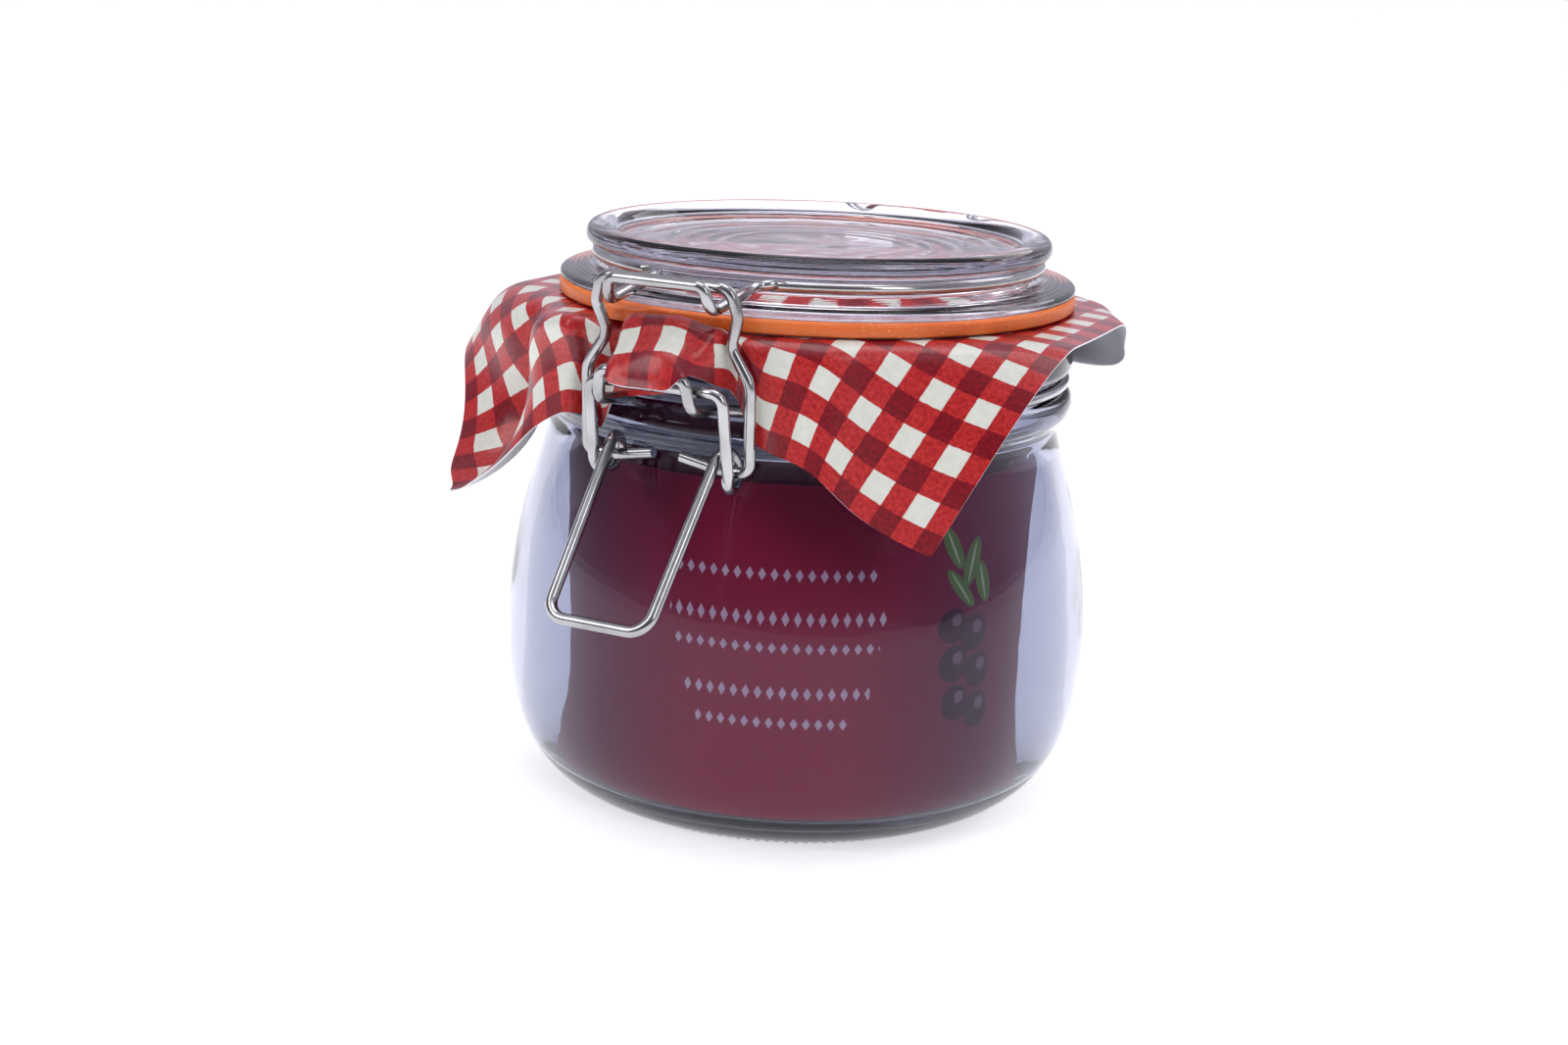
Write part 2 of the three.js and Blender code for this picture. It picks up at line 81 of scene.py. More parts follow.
bpy.ops.object.camera_add()
camera = bpy.context.object
camera.matrix_world = Matrix((
    (right.x, top.x, back.x, place.x), (right.y, top.y, back.y, place.y),
    (right.z, top.z, back.z, place.z), (0, 0, 0, 1)))
camera.data.sensor_width = 36
camera.data.lens = 54.0
camera.data.shift_x, camera.data.shift_y = -0.01018, -0.00428
camera.data.clip_start, camera.data.clip_end = 0.01, 50
bpy.context.scene.camera = camera
print("camera at", [round(value, 4) for value in place])


# %% [markdown]
# ## Room
# Clear glass and bright steel show mostly what is around them. A white floor and a pale horizon
# keep the glass light, and the lid mirrors a pale lavender sky behind the jar. In front, a darker
# band above the horizon draws thin dark lines along the wires and the rims. A bright top with soft
# lamps gives the highlights.

# %% Room
def new_nodes(owner):
    """The empty node tree of a material or a world, and a helper that adds a node to it."""
    owner.use_nodes = True
    tree = owner.node_tree
    tree.nodes.clear()

    def add(kind, **settings):
        node = tree.nodes.new(kind)
        for name, value in settings.items():
            setattr(node, name, value)
        return node
    return tree, add


def ramp(add, stops):
    """A colour ramp node with the given stops, each a place and a grey or a colour."""
    node = add("ShaderNodeValToRGB")
    elements = node.color_ramp.elements
    while len(elements) < len(stops):
        elements.new(0.5)
    for element, (place, colour) in zip(elements, stops):
        element.position = place
        element.color = (*colour, 1) if isinstance(colour, tuple) else (colour, colour, colour, 1)
    return node


SKY_FRONT = [(0.0, (0.60, 0.60, 0.62)), (0.5, (0.50, 0.50, 0.54)), (0.56, (0.26, 0.26, 0.30)),
             (0.64, (0.09, 0.09, 0.11)), (0.8, (0.20, 0.20, 0.24)), (0.92, (0.62, 0.62, 0.70)),
             (1.0, (0.75, 0.75, 0.82))]
SKY_BACK = [(0.0, (0.80, 0.80, 0.84)), (0.5, (0.50, 0.50, 0.60)), (0.58, (0.66, 0.65, 0.76)),
            (0.7, (0.72, 0.71, 0.82)), (0.8, (0.40, 0.40, 0.47)), (0.92, (0.66, 0.66, 0.74)),
            (1.0, (0.75, 0.75, 0.82))]
SKY_CHANGE = (-0.35, 0.45)      # from the front sky to the back one, by direction along Y
world = bpy.data.worlds.new("room")
bpy.context.scene.world = world
tree, add = new_nodes(world)
direction = add("ShaderNodeTexCoord")
split = add("ShaderNodeSeparateXYZ")
height = add("ShaderNodeMapRange")
height.inputs["From Min"].default_value = -1
behind = add("ShaderNodeMapRange", interpolation_type="SMOOTHSTEP")
behind.inputs["From Min"].default_value = SKY_CHANGE[0]
behind.inputs["From Max"].default_value = SKY_CHANGE[1]
front_sky, back_sky = ramp(add, SKY_FRONT), ramp(add, SKY_BACK)
sky = add("ShaderNodeMix", data_type="RGBA")
light = add("ShaderNodeBackground")
out = add("ShaderNodeOutputWorld")
for start, end in ((direction.outputs["Generated"], split.inputs[0]),
                   (split.outputs["Z"], height.inputs["Value"]),
                   (split.outputs["Y"], behind.inputs["Value"]),
                   (height.outputs[0], front_sky.inputs[0]),
                   (height.outputs[0], back_sky.inputs[0]),
                   (behind.outputs[0], sky.inputs["Factor"]),
                   (front_sky.outputs[0], sky.inputs["A"]), (back_sky.outputs[0], sky.inputs["B"]),
                   (sky.outputs["Result"], light.inputs["Color"]),
                   (light.outputs[0], out.inputs["Surface"])):
    tree.links.new(start, end)
view = bpy.context.scene.view_settings
view.view_transform, view.look = "Standard", "None"

# %% Soft lamps
LAMPS = [  # name, place, width, height, watts
    ("key_lamp", (-0.55, -0.75, 0.75), 0.45, 0.6, 3.0),
    ("fill_lamp", (0.8, -0.35, 0.6), 0.25, 0.6, 1.5),
    ("back_lamp", (0.25, 0.85, 0.7), 0.7, 0.4, 2.0),
    ("top_lamp", (0, 0, 1.0), 0.6, 0.6, 2.5),
]
for name, place, width, depth, watts in LAMPS:
    bpy.ops.object.light_add(type="AREA", location=place)
    lamp = bpy.context.object
    lamp.name = name
    lamp.data.shape = "RECTANGLE"
    lamp.data.size, lamp.data.size_y = width, depth
    lamp.data.energy = watts
    lamp.rotation_mode = "QUATERNION"
    lamp.rotation_quaternion = (Vector(place) - AIM).to_track_quat("Z", "Y")
print("lamps:", len(LAMPS))


# %% [markdown]
# ## Floor
# A wide round disc, so that it looks the same from every side. It is pale and dull, and glows a
# little, as paper over a light table does, so that it stays white round the jar.

# %% Floor
def leave():
    """Back to object mode."""
    bpy.ops.object.mode_set(mode="OBJECT")


def deselect():
    """Object mode with nothing selected, as every step starts."""
    if bpy.context.object and bpy.context.object.mode != "OBJECT":
        leave()
    bpy.ops.object.select_all(action="DESELECT")


def plain_material(name, colour, roughness, **sockets):
    """A material with one Principled shader. Returns it with its tree, shader and add helper."""
    material = bpy.data.materials.new(name)
    tree, add = new_nodes(material)
    shader = add("ShaderNodeBsdfPrincipled")
    out = add("ShaderNodeOutputMaterial")
    tree.links.new(shader.outputs[0], out.inputs["Surface"])
    shader.inputs["Base Color"].default_value = (*colour, 1)
    shader.inputs["Roughness"].default_value = roughness
    for socket, value in sockets.items():
        shader.inputs[socket.replace("_", " ")].default_value = value
    return material, tree, shader, add


def add_bump(tree, add, shader, scale, strength, depth=None, place=None):
    """A noise as a bump on a shader, its depth in millimetres. Returns the noise."""
    grain = add("ShaderNodeTexNoise")
    grain.inputs["Scale"].default_value = scale
    bump = add("ShaderNodeBump")
    bump.inputs["Strength"].default_value = strength
    if depth is not None:
        bump.inputs["Distance"].default_value = depth * MM
    if place is not None:
        tree.links.new(place, grain.inputs["Vector"])
    tree.links.new(grain.outputs["Fac"], bump.inputs["Height"])
    tree.links.new(bump.outputs[0], shader.inputs["Normal"])
    return grain


deselect()
bpy.ops.mesh.primitive_circle_add(vertices=96, radius=8, fill_type="NGON")
floor = bpy.context.object
floor.name = "floor"
floor_paint, tree, shader, add = plain_material(
    "floor_paint", (0.93, 0.93, 0.94), 0.7, Emission_Color=(1, 1, 1, 1), Emission_Strength=0.52)
add_bump(tree, add, shader, scale=900, strength=0.03)
floor.data.materials.append(floor_paint)


# %% [markdown]
# ## Helpers for turned pieces
# The jar and the lid are round, so each is half an outline spun once round the upright axis. The
# outline is drawn as a curve of straight and bent parts and made a line of edges. After the spin
# the first and last line are merged, and the faces are turned outwards.

# %% Outline, spin and finish helpers
def bend(points, *handles, steps):
    """Adds a smooth curve from the last point, drawn by its handles, to the last handle."""
    knots = [points[-1], *handles]
    for k in range(1, steps + 1):
        row = knots
        while len(row) > 1:
            row = [tuple(a + (b - a) * k / steps for a, b in zip(p, q))
                   for p, q in zip(row, row[1:])]
        points.append(row[0])


def extend(points, parts):
    """Adds parts to a line: each is a straight end, or a curve's handles and number of steps."""
    for part in parts:
        if isinstance(part[0], tuple):
            bend(points, *part[:-1], steps=part[-1])
        else:
            points.append(part)


def draw_line(name, points, closed=False):
    """A curve of straight parts through the points, given in millimetres."""
    deselect()
    bpy.ops.curve.primitive_bezier_curve_add(location=(0, 0, 0))
    line = bpy.context.object
    line.name = name
    line.data.splines.clear()
    spline = line.data.splines.new("POLY")
    spline.points.add(len(points) - 1)
    for knot, place in zip(spline.points, points):
        knot.co = (*(value * MM for value in place), 1)
    spline.use_cyclic_u = closed
    return line


def pick(piece):
    """Selects the piece alone."""
    deselect()
    piece.select_set(True)
    bpy.context.view_layer.objects.active = piece


def make_mesh(piece):
    """Turns a curve piece into a mesh, with its name kept."""
    name = piece.name
    pick(piece)
    bpy.ops.object.convert(target="MESH")
    piece = bpy.context.object
    piece.name = piece.data.name = name
    return piece


def edit(piece, select="SELECT"):
    """Edit mode on the piece, with all or nothing selected."""
    pick(piece)
    bpy.ops.object.mode_set(mode="EDIT")
    bpy.ops.mesh.select_all(action=select)


def merge():
    """In edit mode, merges vertices in the same place and turns the faces outwards."""
    bpy.ops.mesh.remove_doubles(threshold=1e-6)
    bpy.ops.mesh.normals_make_consistent(inside=False)


def spun(name, outline, steps):
    """A closed round piece from half its outline, given as distance from the axis and height."""
    piece = make_mesh(draw_line(name, [(out, 0, up) for out, up in outline]))
    edit(piece)
    bpy.ops.mesh.spin(steps=steps, angle=2 * math.pi, center=(0, 0, 0), axis=(0, 0, 1))
    bpy.ops.mesh.select_all(action="SELECT")
    merge()
    leave()
    return piece


def smooth_shade(piece, angle):
    """Smooth shading, but sharp edges where two faces meet at more than the angle."""
    pick(piece)
    bpy.ops.object.shade_smooth_by_angle(angle=math.radians(angle))


def add_modifier(piece, kind, **settings):
    """Adds a modifier, sets it and applies it at once."""
    pick(piece)
    bpy.ops.object.modifier_add(type=kind)
    modifier = piece.modifiers[-1]
    for name, value in settings.items():
        setattr(modifier, name, value)
    bpy.ops.object.modifier_apply(modifier=modifier.name)


def settle(piece, material, body, slot, *nodes):
    """Gives a piece its finish, its body and the solid that it stands for."""
    if material:
        piece.data.materials.clear()
        piece.data.materials.append(material)
    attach(piece, body)
    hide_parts(*nodes)
    piece.data.calc_loop_triangles()
    triangles = len(piece.data.loop_triangles)
    size = [round(value / MM, 1) for value in piece.dimensions]
    print(piece.name, "rides on", body, "with", triangles, "triangles, mm", size)


# %% [markdown]
# ## Glass
# Pressed jar glass is clear, with a faint lavender tint where it is thick, and its surface is a
# little uneven. The tint is the shader's own colour, thick glass also takes light away, and the
# unevenness is a low, wide bump. The mirrored room is held back, or it would veil what stands
# inside. Lamps shine through the glass, so it casts no shadow.

# %% Glass finish
GLASS_IOR = 1.47
MIRROR_TINT = (0.5, 0.5, 0.55, 1)
DEEP_TINT = (0.2, 0.2, 0.36, 1)
WAVE_DETAIL = 1.5


def glass_material(name, colour, wave_size, wave_depth, haze, density):
    """Clear tinted glass with a low bump of the given size and depth, in millimetres. The haze is
    its roughness, and the density how fast thick glass darkens."""
    material, tree, shader, add = plain_material(
        name, colour, haze, Transmission_Weight=1.0, IOR=GLASS_IOR, Specular_Tint=MIRROR_TINT)
    place = add("ShaderNodeTexCoord").outputs["Object"]
    waves = add_bump(tree, add, shader, 1 / (wave_size * MM), 1.0, wave_depth, place)
    waves.inputs["Detail"].default_value = WAVE_DETAIL
    depth = add("ShaderNodeVolumeAbsorption")
    depth.inputs["Color"].default_value = DEEP_TINT
    depth.inputs["Density"].default_value = density
    out = next(node for node in tree.nodes if node.type == "OUTPUT_MATERIAL")
    tree.links.new(depth.outputs[0], out.inputs["Volume"])
    return material


jar_glass = glass_material("jar_glass", (0.55, 0.57, 0.66), 14, 0.10, 0.0, 26)
lid_glass = glass_material("lid_glass", (0.95, 0.94, 0.98), 12, 0.10, 0.04, 12)


# %% [markdown]
# ## Jar
# The jar has a flat foot with a hollow under it, a round heel, a full belly, a narrow neck with
# two beads and a groove for the wire, and a rim. The wall has its own inner outline, thick at the
# heel, because the way it bends light is most of what the eye sees of a glass jar.

# %% Jar outline and spin
jar_line = [(0, 1.3), (27, 1.3)]
extend(jar_line, [
    ((30.5, 1.3), (32, 0), 6), ((34, -0.02), (36.6, 0.12), 4), ((38.6, 0.3), (39.6, 1.0), 4),
    ((49.2, 3.4), (54, 14), (54, 30), 26), ((54, 47), (49.3, 58.5), (46.3, 70.3), 26),
    ((46.5, 72), (47.9, 72.7), 6), ((48.9, 73.6), (48.9, 75.2), 6),
    ((48.9, 77.0), (47.2, 77.6), 6), ((45.9, 78.1), (45.95, 79.2), 5),
    ((46.0, 80.2), (47.3, 80.6), 5), ((48.6, 81.0), (48.6, 82.4), 6),
    ((48.5, 86), (46.9, 88), 8), ((46.3, 88.9), (46.3, 90.2), 4),
    ((46.3, 90.95), (45.5, 90.98), 4), (42.6, 90.98), ((41.7, 90.95), (41.65, 90), 4),
    ((41.7, 84), (42, 80), 6), ((43.2, 73), (44, 66.5), 10),
    ((47.4, 55), (50.8, 46), (50.8, 30), 22), ((50.8, 14), (49.6, 6.3), (43, 6.1), 18),
    ((30, 5.9), (20, 5.2), (0, 5.0), 10)])
jar = spun("jar_glass_body", jar_line, 160)

# %% [markdown]
# The inside of pressed glass isn't as true as the outside: it is thicker here and thinner there by
# a tenth or two of a millimetre. The vertices of the inner wall are pushed in and out by a soft
# noise, which never repeats round the jar.

# %% Uneven inner wall
INNER_FROM, INNER_TO = 7.0, 80  # heights between which the inner wall is uneven
WALL_LEAST = 1.2                # a vertex that is further in than this is on the inner wall
WALL_NOISE, NOISE_SCALE = 0.16, 55      # millimetres, swings in a metre


def outer_radius(up):
    """Radius of the jar's outside at a height, from the outline."""
    rows = [(a, b) for a, b in zip(jar_line, jar_line[1:]) if a[1] <= up <= b[1]]
    a, b = rows[0]
    return a[0] + (b[0] - a[0]) * (up - a[1]) / max(b[1] - a[1], 1e-6)


moved = 0
for vertex in jar.data.vertices:
    out, up = math.hypot(vertex.co.x, vertex.co.y) / MM, vertex.co.z / MM
    if INNER_FROM < up < INNER_TO and out < outer_radius(up) - WALL_LEAST:
        push = WALL_NOISE * noise.noise(vertex.co * NOISE_SCALE) * MM
        vertex.co.x += push * vertex.co.x / (out * MM)
        vertex.co.y += push * vertex.co.y / (out * MM)
        moved += 1
print("inner wall vertices moved:", moved)

# %% [markdown]
# Round the heel runs a row of small pressed knobs. One knob is a low dome of a few faces, and its
# copies are turned round the axis and joined to the jar.

# %% Row of knobs round the heel
KNOBS = 150
KNOB_OUT, KNOB_UP, KNOB_SLOPE = 40.6, 1.5, 32
KNOB_RADIUS, KNOB_SHAPE = 0.52, (1.25, 1, 0.62)
deselect()
bpy.ops.mesh.primitive_uv_sphere_add(segments=8, ring_count=6, radius=KNOB_RADIUS * MM)
knob = bpy.context.object
knob.scale = KNOB_SHAPE
bpy.ops.object.transform_apply(location=False, rotation=False, scale=True)
knobs = []
for k in range(KNOBS):
    copy = knob.copy()
    copy.data = knob.data.copy()
    bpy.context.collection.objects.link(copy)
    angle = 2 * math.pi * k / KNOBS
    copy.data.transform(Matrix.Rotation(angle, 4, "Z")
                        @ Matrix.Translation((0, -KNOB_OUT * MM, KNOB_UP * MM))
                        @ Matrix.Rotation(math.radians(90 + KNOB_SLOPE), 4, "X"))
    knobs.append(copy)
bpy.data.objects.remove(knob)
pick(jar)
for copy in knobs:
    copy.select_set(True)
bpy.ops.object.join()
smooth_shade(jar, 60)
jar.visible_shadow = False
settle(jar, jar_glass, "root", "jar_glass", "jar")


# %% [markdown]
# ## Lid
# The lid is one pressed piece: a sunk top inside a round rim, a groove under the rim for the wire
# hoop, a sloping flange over the seal and a collar that goes down into the mouth. The mould left
# fine rings on the slope and on the inside, and they break what lies behind into thin streaks.

# %% Lid outline and spin
WAVE_STEPS = 6                  # points in the wave of one ring


def ringed(points, end, rings, depth):
    """A straight part with fine rings in it, each a shallow wave across the line."""
    start = points[-1]
    run = Vector(end) - Vector(start)
    across = Vector((-run.y, run.x)).normalized()
    steps = rings * WAVE_STEPS
    for k in range(1, steps + 1):
        fade = min(1, 4 * k / steps, 4 * (1 - k / steps))
        wave = depth * (math.sin(2 * math.pi * k / WAVE_STEPS)) * fade
        spot = Vector(start) + run * (k / steps) + across * wave
        points.append((spot.x, spot.y))


lid_line = [(0, 97), (14, 97)]
ringed(lid_line, (33.2, 97), 5, 0.05)
extend(lid_line, [
    ((36.2, 96.9), (36.7, 94.6), 6), (37.0, 93.0), ((37.1, 92.25), (37.9, 92.22), 4),
    ((40.0, 92.2), (40.5, 92.5), 4), (41.2, 94.3), (41.5, 94.42), (45.9, 94.42),
    ((46.75, 94.5), (46.8, 95.1), 5), ((46.8, 95.8), (46.0, 96.05), 5)])
ringed(lid_line, (39.3, 97.3), 7, 0.035)
extend(lid_line, [
    ((38.75, 97.5), (38.72, 98.2), 4), (38.72, 99.9), ((38.9, 100.35), (39.8, 100.4), 4),
    ((42.2, 100.55), (42.27, 101.9), 10), ((42.27, 104.24), (39.96, 104.24), 12),
    ((37.6, 104.2), (36.5, 102.6), 8), ((35.6, 101.65), (33, 101.6), 6),
    (24, 101.62), (23, 101.5), (10, 101.45), (0, 101.45)])
lid = spun("lid_glass_body", lid_line, 160)
edit(lid)
bpy.ops.transform.translate(value=(LID_OFFSET[0] * MM, LID_OFFSET[1] * MM, 0))
leave()
smooth_shade(lid, 60)
lid.visible_shadow = False
settle(lid, lid_glass, "root", "lid_glass", "lid")


# %% [markdown]
# ## Seal
# The seal is a flat orange rubber ring with a tongue beside the clip, which is pulled to let the
# air in. It is drawn flat, as its die would cut it, filled, given its thickness with rounded
# edges, and made a mesh.

# %% Seal outline
SEAL_INNER, SEAL_OUTER, SEAL_LOW, SEAL_HIGH = 41.6, 46.8, 92.0, 94.1
TAB_AZIMUTH, TAB_HALF, TAB_TIP, TAB_ROUND = -15.5, 4.4, 50.9, 1.6
TAB_FILLET, FILLET_OUT, FILLET_IN = 1.8, 1.2, 0.3       # the hollow between the tongue and the ring
SEAL_EDGE = 0.3                 # rounding of the edges
SEAL_STEPS, HOLE_STEPS = 200, 180


def seal_outline():
    """The ring's outer line with its tongue, in the ring's own plane."""
    middle = math.radians(TAB_AZIMUTH - 90)
    root = math.asin((TAB_HALF + TAB_FILLET) / SEAL_OUTER)
    line = []
    for k in range(SEAL_STEPS + 1):
        angle = middle + root + (2 * math.pi - 2 * root) * k / SEAL_STEPS
        line.append((SEAL_OUTER * math.cos(angle), SEAL_OUTER * math.sin(angle)))
    along = Vector((math.cos(middle), math.sin(middle)))
    across = Vector((-along.y, along.x))

    def at(out, side):
        return tuple(along * out + across * side)
    for sign in (-1, 1):
        tip = [at(TAB_TIP, 0)]
        side = TAB_HALF * sign
        edge = at(SEAL_OUTER * math.cos(root), SEAL_OUTER * math.sin(root) * sign)
        bend(tip, at(TAB_TIP, side), at(TAB_TIP - TAB_ROUND * 1.4, side), steps=7)
        bend(tip, at(SEAL_OUTER + FILLET_OUT, side), steps=3)
        bend(tip, at(SEAL_OUTER - FILLET_IN, side), edge, steps=7)
        line += reversed(tip[:-1]) if sign < 0 else tip[1:-1]
    return line


seal = draw_line("seal_ring", [(*spot, 0) for spot in seal_outline()], closed=True)
hole = seal.data.splines.new("POLY")
hole.points.add(HOLE_STEPS - 1)
for k, knot in enumerate(hole.points):
    angle = 2 * math.pi * k / HOLE_STEPS
    knot.co = (SEAL_INNER * math.cos(angle) * MM, SEAL_INNER * math.sin(angle) * MM, 0, 1)
hole.use_cyclic_u = True
seal.data.dimensions = "2D"
seal.data.fill_mode = "BOTH"
seal.data.bevel_depth = SEAL_EDGE * MM
seal.data.bevel_resolution = 3
seal.data.offset = -SEAL_EDGE * MM
seal.data.extrude = ((SEAL_HIGH - SEAL_LOW) / 2 - SEAL_EDGE) * MM
seal = make_mesh(seal)
edit(seal)
merge()
bpy.ops.transform.translate(value=(
    LID_OFFSET[0] * MM, LID_OFFSET[1] * MM, (SEAL_LOW + SEAL_HIGH) / 2 * MM))
leave()

# %% [markdown]
# Rubber is satin and a little translucent, so it glows at its thin edges. Fine dust and talc show
# as pale specks, and the colour drifts slightly round the ring.

# %% Seal finish
def speckled(tree, add, vector, base, dark, speck, speck_scale, speck_share, drift_scale):
    """Colour of a plain surface that drifts between two tones and carries fine pale specks."""
    drift = add("ShaderNodeTexNoise")
    drift.inputs["Scale"].default_value = drift_scale
    tones = ramp(add, [(0.35, dark), (0.65, base)])
    dots = add("ShaderNodeTexNoise")
    dots.inputs["Scale"].default_value = speck_scale
    dots.inputs["Detail"].default_value = 3
    picked = ramp(add, [(speck_share, 0.0), (speck_share + 0.04, 1.0)])
    mix = add("ShaderNodeMix", data_type="RGBA")
    mix.inputs["B"].default_value = (*speck, 1)
    tree.links.new(vector, drift.inputs["Vector"])
    tree.links.new(vector, dots.inputs["Vector"])
    tree.links.new(drift.outputs["Fac"], tones.inputs[0])
    tree.links.new(dots.outputs["Fac"], picked.inputs[0])
    tree.links.new(picked.outputs[0], mix.inputs["Factor"])
    tree.links.new(tones.outputs[0], mix.inputs["A"])
    return mix.outputs["Result"]


rubber, tree, shader, add = plain_material(
    "seal_rubber", (0.8, 0.2, 0.02), 0.42, Subsurface_Weight=0.35, Subsurface_Scale=0.0012)
shader.inputs["Subsurface Radius"].default_value = (1.0, 0.35, 0.08)
place = add("ShaderNodeTexCoord").outputs["Object"]
tree.links.new(speckled(tree, add, place, (0.83, 0.20, 0.022), (0.70, 0.13, 0.012),
                        (0.95, 0.5, 0.28), 2600, 0.66, 60), shader.inputs["Base Color"])
add_bump(tree, add, shader, 1800, 0.25, 0.05, place)
smooth_shade(seal, 35)
settle(seal, rubber, "root", "seal_rubber", "seal")


# %% [markdown]
# ## Card sleeve
# A sheet of printed card is rolled up and stands inside the jar, springing out against the glass.
# Its two ends overlap at the seam, so the line seen from above is a spiral. The line is drawn,
# extruded upwards and given its thickness. The print follows the card, so the card gets a UV map
# in which one unit is one millimetre along the roll and up it.

# %% Card shape
CARD_RADIUS, CARD_LOW, CARD_HIGH, CARD_THICK, CARD_SEAM = 43.2, 6.5, 66.0, 0.4, 98
CARD_STEPS, CARD_OVERLAP, CARD_SPIRAL = 240, 14, 1.1
CARD_ROWS = 12
card_line = []
for k in range(CARD_STEPS + 1):
    share = k / CARD_STEPS
    angle = math.radians(CARD_SEAM - 90 - (360 + CARD_OVERLAP) * share)
    radius = CARD_RADIUS - CARD_SPIRAL * share
    card_line.append((radius * math.cos(angle), radius * math.sin(angle), CARD_LOW))
card = make_mesh(draw_line("card_sleeve", card_line))
for row in range(CARD_ROWS):
    edit(card, "DESELECT")
    leave()
    top = max(vertex.co.z for vertex in card.data.vertices)
    for edge in card.data.edges:
        edge.select = all(card.data.vertices[i].co.z > top - 1e-6 for i in edge.vertices)
    for vertex in card.data.vertices:
        vertex.select = vertex.co.z > top - 1e-6
    bpy.ops.object.mode_set(mode="EDIT")
    bpy.ops.mesh.extrude_region_move(TRANSFORM_OT_translate={
        "value": (0, 0, (CARD_HIGH - CARD_LOW) / CARD_ROWS * MM)})
    leave()
card_map = card.data.uv_layers.new(name="card_map")
card_length = 2 * math.pi * CARD_RADIUS * (360 + CARD_OVERLAP) / 360
for polygon in card.data.polygons:
    columns = []
    for loop in polygon.loop_indices:
        spot = card.data.vertices[card.data.loops[loop].vertex_index].co
        turn = (CARD_SEAM - 90 - math.degrees(math.atan2(spot.y, spot.x))) % 360
        radius = spot.xy.length / MM
        if radius < CARD_RADIUS - CARD_SPIRAL * 0.9 and turn < 90:
            turn += 360
        columns.append(turn)
    for loop, turn in zip(polygon.loop_indices, columns):
        if max(columns) - turn > 180:
            turn += 360
        spot = card.data.vertices[card.data.loops[loop].vertex_index].co
        card_map.data[loop].uv = (turn * math.radians(1) * CARD_RADIUS, spot.z / MM)
edit(card)
bpy.ops.mesh.normals_make_consistent(inside=False)
leave()
outward = sum(polygon.normal.dot(Vector((*polygon.center.xy, 0)).normalized())
              for polygon in card.data.polygons)
if outward < 0:
    edit(card)
    bpy.ops.mesh.flip_normals()
    leave()
add_modifier(card, "SOLIDIFY", thickness=CARD_THICK * MM, offset=-1)
print("card length along the roll, mm:", round(card_length, 1))

# %% [markdown]
# The card is printed a deep burgundy, with satin varnish. Its colour also carries painted light:
# it is painted lighter in the middle of the front, a painted highlight, and a darker plum round
# the rest, painted shade. It has plain rows of small pale marks, and at the side a spray of leaves
# above a heap of dark round fruits, all as simple shapes.

# %% Card finish
card_paint, tree, shader, add = plain_material(
    "card_print_and_painted_light", (0.2, 0.02, 0.07), 0.5, Specular_IOR_Level=0.2)
uv = add("ShaderNodeUVMap", uv_map="card_map").outputs[0]
split = add("ShaderNodeSeparateXYZ")
tree.links.new(uv, split.inputs[0])
along, up = split.outputs["X"], split.outputs["Y"]


def maths(operation, *values, clamp=False):
    """A Math node of the material being made. Each value is a number or another node's output."""
    node = add("ShaderNodeMath", operation=operation, use_clamp=clamp)
    for socket, value in zip(node.inputs, values):
        if isinstance(value, (int, float)):
            socket.default_value = value
        else:
            tree.links.new(value, socket)
    return node.outputs[0]


def apart(a, b):
    """How far two values are apart."""
    return maths("ABSOLUTE", maths("SUBTRACT", a, b))


def within(value, middle, half, soft=0.15):
    """1 where the value is within half of the middle, 0 outside, with a soft edge."""
    inside = maths("SUBTRACT", half + soft, apart(value, middle))
    return maths("MULTIPLY", inside, 1 / soft, clamp=True)


def blended(factor, under, over):
    """One colour over another by a factor. A colour is a tuple or another node's output."""
    mix = add("ShaderNodeMix", data_type="RGBA")
    tree.links.new(factor, mix.inputs["Factor"])
    for socket, colour in (("A", under), ("B", over)):
        if isinstance(colour, tuple):
            mix.inputs[socket].default_value = (*colour, 1)
        else:
            tree.links.new(colour, mix.inputs[socket])
    return mix.outputs["Result"]


def card_along(azimuth):
    """Where an azimuth of the jar is along the card: 0 is the clip, 90 the right side."""
    return ((CARD_SEAM - azimuth) % 360) * math.radians(1) * CARD_RADIUS


# Two tones of the burgundy print: the lighter one is a painted highlight, the darker one painted
# shade.
LIT_BURGUNDY, SHADED_PLUM = (0.46, 0.010, 0.060), (0.20, 0.012, 0.060)
PALE_MARK, LEAF_GREEN = (0.90, 0.62, 0.72), (0.16, 0.26, 0.07)
LEAF_PALE, FRUIT = (0.50, 0.58, 0.34), (0.07, 0.006, 0.035)
front = card_along(22)
# Painted light and shade: the middle of the front is painted lighter, with a soft change to the
# painted shade beside it.
LIT_FRONT_HALF, LIT_FRONT_SOFT = 12, 24   # the lighter middle of the front, and the soft change beside it
colour = blended(within(along, front, LIT_FRONT_HALF, LIT_FRONT_SOFT), SHADED_PLUM, LIT_BURGUNDY)
MARK_STEP, MARK_HALF, MARK_SHARP = 2.1, 0.75, 5
MARK_ROWS = [  # height, half width of the row, half height of a mark
    (50.4, 17.5, 1.25), (42.7, 19.0, 1.5), (37.5, 18.0, 1.1), (29.6, 16.5, 1.3), (24.4, 13.5, 1.1)]
for height, half, tall in MARK_ROWS:
    cell = maths("FRACT", maths("MULTIPLY", along, 1 / MARK_STEP))
    aside = maths("MULTIPLY", apart(cell, 0.5), MARK_STEP / MARK_HALF)
    rise = maths("MULTIPLY", apart(up, height), 1 / tall)
    diamond = maths("ADD", aside, rise)
    mark = maths("MULTIPLY", maths("SUBTRACT", 1, diamond), MARK_SHARP, clamp=True)
    colour = blended(maths("MULTIPLY", mark, within(along, front, half)), colour, PALE_MARK)


